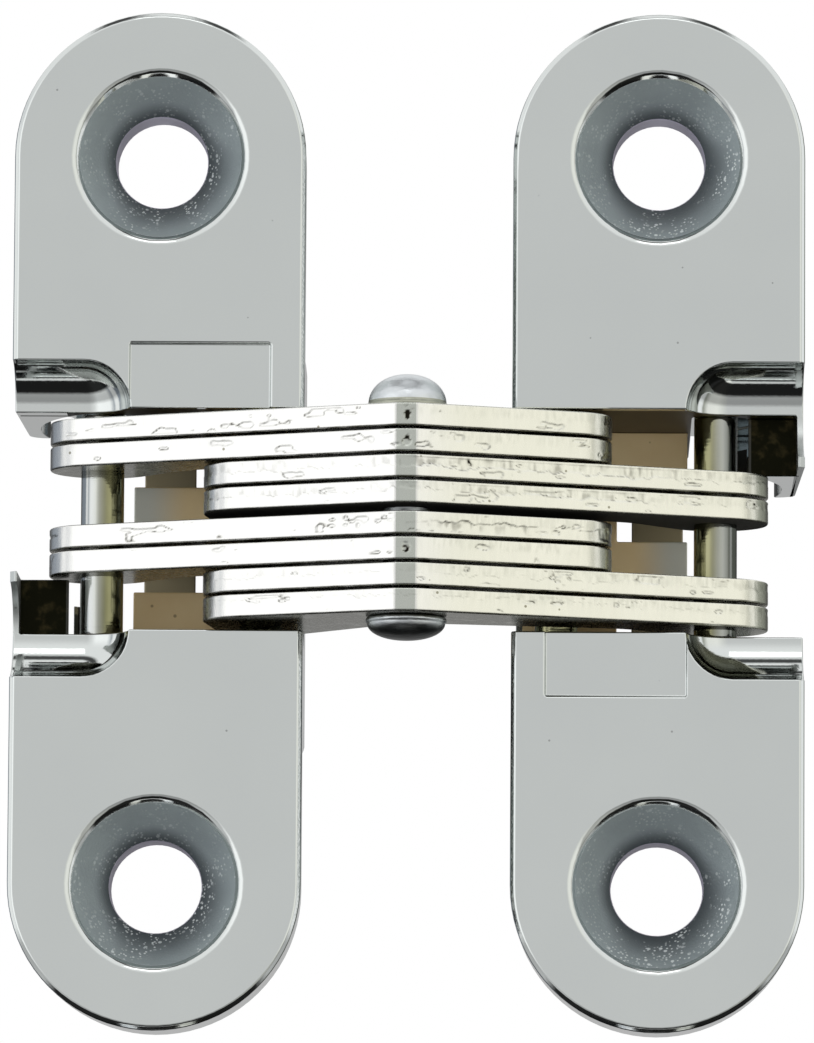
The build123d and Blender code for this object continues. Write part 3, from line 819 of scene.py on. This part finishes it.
# %% Eight links
SLIDE_BORE, PIVOT_BORE, TIGHT_BORE, LOOSE_BORE = 0.94, 0.98, 1.0, 1.04
BORE_POINTS = 48
FIRST_SEED = 40
NICK_PLACE = (0.02, -4.5)
NOWHERE = -9
TORN_BANDS = {
    1: (-0.3, 0.1, 0.0, 0.0), 2: (-0.3, 0.1, 0.0, 0.0), 3: (-0.3, 0.5, 0.4, 1.0),
    4: (-0.3, 0.42, 0.5, 0.8), 5: (0.42, 0.9, 0.0, 1.0), 6: (-0.3, 0.1, 0.0, 0.0),
    7: (-0.3, 0.45, 0.3, 0.5), 8: (-0.3, 0.3, 0.3, 0.4),
}
NICKED = (1, 2, 6)
MIRRORED = (1, 2, 5, 6)


def torn_edge(number, side, thickness, middle):
    """Points, faces, shares of the thickness and marks of the cut edge. The outline, mirrored
    where side is -1, moves along its own normal, out by the section and in by the tears. A row
    of TORN_BANDS is (start, end, strength on the left, strength on the right)."""
    draw = np.random.default_rng(FIRST_SEED + number)
    path = LINK_OUTLINE * (side, 1)
    tangent = (np.roll(path, -1, axis=0) - np.roll(path, 1, axis=0)) * side
    tangent /= np.hypot(*tangent.T)[:, None]
    outward = np.stack([tangent[:, 1], -tangent[:, 0]], axis=1)
    out, height, share = edge_section(thickness)
    start, end, left, right = TORN_BANDS[number]
    strength = left + (right - left) * ramp(path[:, 0], -0.5, 1.0)
    from_nick = np.hypot(path[:, 0] - NICK_PLACE[0], path[:, 1] - NICK_PLACE[1])
    nick = LINK_ALONG[np.argmin(from_nick)] if number in NICKED else NOWHERE
    depth, marks = tears(draw, LINK_ALONG, share, (start, end, strength), nick)
    push = out[None, :] - depth
    plan = path[:, None, :] + outward[:, None, :] * push[:, :, None]
    heights = np.broadcast_to(height[None, :], push.shape) + middle
    points = np.concatenate([plan, heights[:, :, None]], axis=2).transpose(1, 0, 2).reshape(-1, 3)
    faces = grid_faces(len(height), len(path))
    return points, faces, np.repeat(share, len(path)), marks.T.reshape(-1)


def bore(x, y, radius, levels, first_point):
    """Points and faces of a bore, a tube between two levels, seen from its inside."""
    turn = np.linspace(0, 2 * pi, BORE_POINTS, endpoint=False)
    ring = np.stack([x + radius * np.cos(turn), y + radius * np.sin(turn)], axis=1)
    rings = [np.concatenate([ring, np.full((BORE_POINTS, 1), z)], axis=1) for z in levels]
    return np.concatenate(rings), grid_faces(2, BORE_POINTS)[:, ::-1] + first_point


def stamped_link(number):
    """One link: the torn edge, three bores and two flats. The long arm lies right, or left when
    mirrored. The mesh keeps the share through the sheet and the marks for the finish."""
    low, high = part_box(f"link_{number}")
    thickness, middle = (high.z - low.z) / MM, (high.z + low.z) / 2 / MM
    levels = (middle + thickness / 2, middle - thickness / 2)
    mirrored = number in MIRRORED
    side = -1 if mirrored else 1
    edge = torn_edge(number, side, thickness, middle)
    points, faces, shares, marks = ([block] for block in edge)
    rivet_bore = TIGHT_BORE if mirrored else LOOSE_BORE
    bores = ((SLIDE_PLACE, SLIDE_BORE), (PIVOT_PLACE, PIVOT_BORE), (RIVET_PLACE, rivet_bore))
    for (x, y), radius in bores:
        first_point = sum(len(block) for block in points)
        tube, tube_faces = bore(side * x, y, radius, levels, first_point)
        points.append(tube)
        faces.append(tube_faces)
        shares.append(np.repeat([0.0, 1.0], BORE_POINTS))
        marks.append(np.zeros(2 * BORE_POINTS))
    mesh = bpy.data.meshes.new(f"stamped_link_{number}")
    mesh.from_pydata((np.concatenate(points) * MM).tolist(), [], np.concatenate(faces).tolist())
    mesh.polygons.foreach_set("use_smooth", [True] * len(mesh.polygons))
    for name, values in (("through", shares), ("mark", marks)):
        layer = mesh.attributes.new(name, "FLOAT", "POINT")
        layer.data.foreach_set("value", np.concatenate(values))
    for level in levels:
        close_flats(mesh, level * MM)
    piece = bpy.data.objects.new(f"stamped_link_{number}", mesh)
    bpy.context.scene.collection.objects.link(piece)
    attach(piece, "left_arm_set" if mirrored else "right_arm_set")
    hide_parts(f"link_{number}")
    return piece


LINKS = [stamped_link(number) for number in TORN_BANDS]
print("links", len(LINKS), "with", len(LINKS[0].data.polygons), "faces each")

# %% [markdown]
# Rivet
#
# The rivet joins all eight links. A spinning tool forms its heads, which leaves a polished dome
# on a short collar. The dome is a quarter of an ellipse with a fuller flank, as spun heads have.
# The rivet and the pins are round bars, so each is a profile carried round a centre line: its
# points become rings, and its two ends are single points on the line.

# %% Rivet
RIVET_SEAT = 4.54
SHANK_RADIUS = 1.0
COLLAR = 0.22
DOME_INSET = 0.06
FLANK_POWER = 0.92
DOME_STEPS = 22
RIVET_SEGMENTS = 96


def turned(name, profile, centre, segments):
    """A profile of (radius, height) points carried round the line through centre: each point
    becomes radius x cosine and radius x sine of the turn. Both ends lie on the line, at poles."""
    radius, height = np.array(profile).T
    turn = np.linspace(0, 2 * pi, segments, endpoint=False)
    x = centre[0] + radius[1:-1, None] * np.cos(turn)
    y = centre[1] + radius[1:-1, None] * np.sin(turn)
    z = np.broadcast_to(height[1:-1, None], x.shape)
    rings = np.stack([x, y, z], axis=-1).reshape(-1, 3)
    poles = np.array([(*centre, height[0]), (*centre, height[-1])])
    count = len(radius) - 2
    first_pole, last_ring = count * segments, (count - 1) * segments
    step = np.arange(segments)
    following = (step + 1) % segments
    caps_top = np.stack([np.full(segments, first_pole), step, following], axis=1)
    low_pole = np.full(segments, first_pole + 1)
    caps_low = np.stack([low_pole, following + last_ring, step + last_ring], axis=1)
    faces = grid_faces(count, segments).tolist() + caps_top.tolist() + caps_low.tolist()
    mesh = bpy.data.meshes.new(name)
    mesh.from_pydata((np.concatenate([rings, poles]) * MM).tolist(), [], faces)
    shape = bmesh.new()
    shape.from_mesh(mesh)
    bmesh.ops.recalc_face_normals(shape, faces=shape.faces)
    shape.to_mesh(mesh)
    shape.free()
    mesh.polygons.foreach_set("use_smooth", [True] * len(mesh.polygons))
    piece = bpy.data.objects.new(name, mesh)
    bpy.context.scene.collection.objects.link(piece)
    return piece


def rivet_profile(tip, head):
    """Half the rivet, from its tip down: the dome, whose radius is a power of a sine and whose
    height is a cosine, a round collar, the flat under the head and the shank."""
    swell = np.linspace(0, pi / 2, DOME_STEPS)
    collar_top = RIVET_SEAT + COLLAR
    dome_radius = (head - DOME_INSET) * np.sin(swell) ** FLANK_POWER
    dome_height = collar_top + (tip - collar_top) * np.cos(swell)
    dome = np.stack([dome_radius, dome_height], axis=1)
    rim = [
        (head - 0.02, collar_top - 0.03), (head, RIVET_SEAT + 0.13), (head - 0.01, RIVET_SEAT + 0.05),
        (head - 0.05, RIVET_SEAT), (SHANK_RADIUS + 0.02, RIVET_SEAT), (SHANK_RADIUS, RIVET_SEAT - 0.02),
    ]
    return np.concatenate([dome, rim])


LOW, HIGH = (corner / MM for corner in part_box("centre_rivet"))
HEAD_RADIUS = (HIGH.x - LOW.x) / 2
upper = rivet_profile(HIGH.z, HEAD_RADIUS)
lower = rivet_profile(-LOW.z, HEAD_RADIUS)
whole = np.concatenate([upper, lower[::-1] * (1, -1)])
rivet = turned("spun_rivet", whole, RIVET_PLACE, RIVET_SEGMENTS)
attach(rivet, "left_arm_set")
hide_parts("centre_rivet")
print("rivet", round(HIGH.z - LOW.z, 2), "mm long")

# %% [markdown]
# Pins
#
# The pins are ground rods with slightly rounded ends. Two are pressed into the leaves, and two
# slide in them. Each takes its length and thickness from the measured pin.

# %% Pins
END_ROUND = 0.12
END_MIDDLE = 0.035
PIN_SEGMENTS = 72
PIN_CREASE_DEGREES = 30
PIN_BODIES = {
    "right_pivot_pin": "right", "left_pivot_pin": "left",
    "right_slide_pin": "right_arm_set", "left_slide_pin": "left_arm_set",
}
PINS = []
for name, body in PIN_BODIES.items():
    low, high = (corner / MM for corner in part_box(name))
    rod, end = (high.x - low.x) / 2, high.z
    rounded = [(rod - END_ROUND, end), (rod - END_MIDDLE, end - END_MIDDLE), (rod, end - END_ROUND)]
    half = [(0, end)] + rounded
    whole = half + [(radius, -height) for radius, height in reversed(half)]
    pin = turned("ground_" + name, whole, pin_place(name), PIN_SEGMENTS)
    pin.data.set_sharp_from_angle(angle=radians(PIN_CREASE_DEGREES))
    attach(pin, body)
    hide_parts(name)
    PINS.append(pin)
print("pins", len(PINS))

# %% [markdown]
# Zinc plate on the links
#
# The links are plated after stamping, with bright zinc. Its colour carries a painted reflection,
# cool on the left where the white panel shines on it, creamy on the other side and grey on the
# front of the bend. Shearing leaves fine grain through the sheet, which the plating doesn't hide,
# and oil stays in the tears. The lower rims are darker olive, and a black painted shade fills the
# gap between two links that face each other. The mesh itself says where the tears are, so the
# dirt follows the shape. The grain is coarser than real shear marks, so that it shows.

# %% Finish of the links
RIDGE_FRONT = -4.3 * MM
RIDGE_SIDE = RIDGE_HALF * MM
FACING_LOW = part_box("link_5")[1].z - 0.03 * MM
FACING_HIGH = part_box("link_4")[0].z + 0.03 * MM


def link_material():
    """Bright zinc on stamped steel, with a painted reflection, cool on the left, creamy on the right
    and grey on the front of the bend, and fine grain mostly in its upper part. The rims of the tears
    are dark, the lower rim is darker olive in a band of uneven width, and the gap between the facing
    links in the middle is black painted shade."""
    material, tree, output, where = new_material("zinc_plated_stamped_steel")
    through = add(tree, "ShaderNodeAttribute", attribute_name="through").outputs["Fac"]
    mark = add(tree, "ShaderNodeAttribute", attribute_name="mark").outputs["Fac"]
    xyz = add(tree, "ShaderNodeSeparateXYZ", {0: where}).outputs
    cloud = noise(tree, where, size_mm=2.5, detail=3.0)
    # Painted reflection: cool on the left where the white panel shines, creamy on the right.
    warm = step_up(tree, xyz["X"], -1.0 * MM, 3.0 * MM)
    cool = mixed(tree, cloud, linear("DEDEDC"), linear("E8E8E5"))
    cream = mixed(tree, cloud, linear("D8D8CB"), linear("E4E3D8"))
    zinc = mixed(tree, warm, cool, cream)
    grain = noise(tree, where, size_mm=0.16, detail=4.0, stretch=(1.0, 1.0, 4.0))
    patch = step_up(tree, noise(tree, where, size_mm=1.2, detail=3.0), 0.4, 0.7)
    upper = calc(tree, "SUBTRACT", 1.0, step_up(tree, through, 0.3, 0.6))
    streaks = calc(tree, "MULTIPLY", step_up(tree, grain, 0.38, 0.68), blended(tree, patch, 0.4, 1.0))
    grey = calc(tree, "MULTIPLY", upper, streaks)
    grey = calc(tree, "MULTIPLY", grey, blended(tree, warm, 0.06, 0.34))
    zinc = mixed(tree, grey, zinc, linear("A9AB9E"))
    # Painted reflection: the front flat of the bend is grey.
    ridge = within(tree, xyz["X"], -RIDGE_SIDE, RIDGE_SIDE)
    ridge = calc(tree, "MULTIPLY", ridge, calc(tree, "LESS_THAN", xyz["Y"], RIDGE_FRONT))
    zinc = mixed(tree, calc(tree, "MULTIPLY", ridge, 0.7), zinc, linear("A8AEA4"))
    zinc = mixed(tree, calc(tree, "MULTIPLY", mark, 0.8), zinc, linear("4E4B3E"))
    zinc = mixed(tree, step_up(tree, mark, 0.7, 1.0), zinc, linear("1C1A14"))
    # Darker olive along the lower rim, in a band of uneven width.
    waver = noise(tree, where, size_mm=0.7, detail=3.0)
    rim = step_up(tree, calc(tree, "MULTIPLY_ADD", waver, 0.16, through), 1.0, 1.08)
    zinc = mixed(tree, calc(tree, "MULTIPLY", rim, 0.85), zinc, linear("55523A"))
    spots = calc(tree, "MULTIPLY", specks(tree, where, spacing_mm=1.3, radius_mm=0.08), 0.7)
    zinc = mixed(tree, spots, zinc, linear("5C5634"))
    # Painted shade: the gap between the facing links is black, dull and not metallic.
    painted_gap_shade = within(tree, xyz["Z"], FACING_LOW, FACING_HIGH)
    zinc = mixed(tree, calc(tree, "MULTIPLY", painted_gap_shade, 0.98), zinc, linear("14130C"))
    roughness = blended(tree, painted_gap_shade, blended(tree, grain, 0.2, 0.34), 0.9)
    metallic = calc(tree, "SUBTRACT", 1.0, painted_gap_shade)
    metal(tree, output, zinc, roughness, grain, relief_mm=0.006, metallic=metallic)
    return material


LINK_STEEL = link_material()
for piece in LINKS:
    piece.data.materials.append(LINK_STEEL)
print("made", LINK_STEEL.name)

# %% [markdown]
# Steel of the pins and the rivet
#
# The pins are hardened and ground, which leaves fine scratches round them, here coarser than real
# ones so that they show. Towards the pockets they are olive, a film of oil with painted shade, and
# the pin on the right has a stripe of painted shade on its outer side. The heads of the rivet show
# faint traces of the spinning tool, and the lower head, which faces down, is dark with painted shade.

# %% Finish of the pins and the rivet
# Heights of the painted shade on the lower head: full below the first, none above the second.
LOWER_SHADE_FULL, LOWER_SHADE_END = -5.1 * MM, -4.75 * MM
COLLAR_LOW, COLLAR_HIGH = 4.5 * MM, 4.85 * MM


def pin_material():
    """Ground steel: fine scratches round the pin, olive on the side that faces the middle of the hinge,
    a film of oil with painted shade, and a dark stripe of painted shade on the outer side of the pin
    on the right."""
    material, tree, output, where = new_material("ground_hardened_steel")
    xyz = add(tree, "ShaderNodeSeparateXYZ", {0: where}).outputs
    reach = calc(tree, "ABSOLUTE", xyz["X"])
    film = noise(tree, where, size_mm=0.9, detail=3.0, stretch=(1, 1, 4))
    scratch = noise(tree, where, size_mm=0.1, detail=2.0, stretch=(8, 8, 1))
    line = SLIDE_PLACE[0] * MM
    # Olive towards the middle: a film of oil, with painted shade from the dark pocket beside the pin.
    inner = calc(tree, "SUBTRACT", 1.0, step_up(tree, reach, line - 0.3 * MM, line + 0.5 * MM))
    clean = mixed(tree, film, linear("B4B8BA"), linear("CACCC8"))
    oil_and_shade = mixed(tree, film, linear("6A6A48"), linear("A2A080"))
    steel = mixed(tree, inner, clean, oil_and_shade)
    # Painted shade: a dark stripe on the outer side of the pin on the right.
    painted_shade_stripe = step_up(tree, xyz["X"], line, line + 0.6 * MM)
    steel = mixed(tree, calc(tree, "MULTIPLY", painted_shade_stripe, 0.75), steel, linear("50544C"))
    metal(tree, output, steel, blended(tree, film, 0.08, 0.15), scratch, relief_mm=0.004)
    return material


def rivet_material():
    """Spun steel heads: bright above, with an olive collar, and dark with painted shade below."""
    material, tree, output, where = new_material("spun_steel_rivet_head")
    cloud = noise(tree, where, size_mm=0.7, detail=3.0)
    smear = noise(tree, where, size_mm=0.25, detail=3.0, stretch=(2, 2, 1))
    level = add(tree, "ShaderNodeSeparateXYZ", {0: where}).outputs["Z"]
    steel = mixed(tree, cloud, linear("C6CBCE"), linear("DCE0E2"))
    # Painted shade: the lower head, which faces down, is dark.
    painted_shade_below = calc(tree, "SUBTRACT", 1.0, step_up(tree, level, LOWER_SHADE_FULL, LOWER_SHADE_END))
    steel = mixed(tree, calc(tree, "MULTIPLY", painted_shade_below, 0.85), steel, linear("3A3C38"))
    collar = within(tree, level, COLLAR_LOW, COLLAR_HIGH)
    steel = mixed(tree, calc(tree, "MULTIPLY", collar, 0.7), steel, linear("8C8C70"))
    metal(tree, output, steel, blended(tree, cloud, 0.3, 0.42), smear, relief_mm=0.03)
    return material


PIN_STEEL = pin_material()
for piece in PINS:
    piece.data.materials.append(PIN_STEEL)
RIVET_STEEL = rivet_material()
rivet.data.materials.append(RIVET_STEEL)
print("made", PIN_STEEL.name, RIVET_STEEL.name)
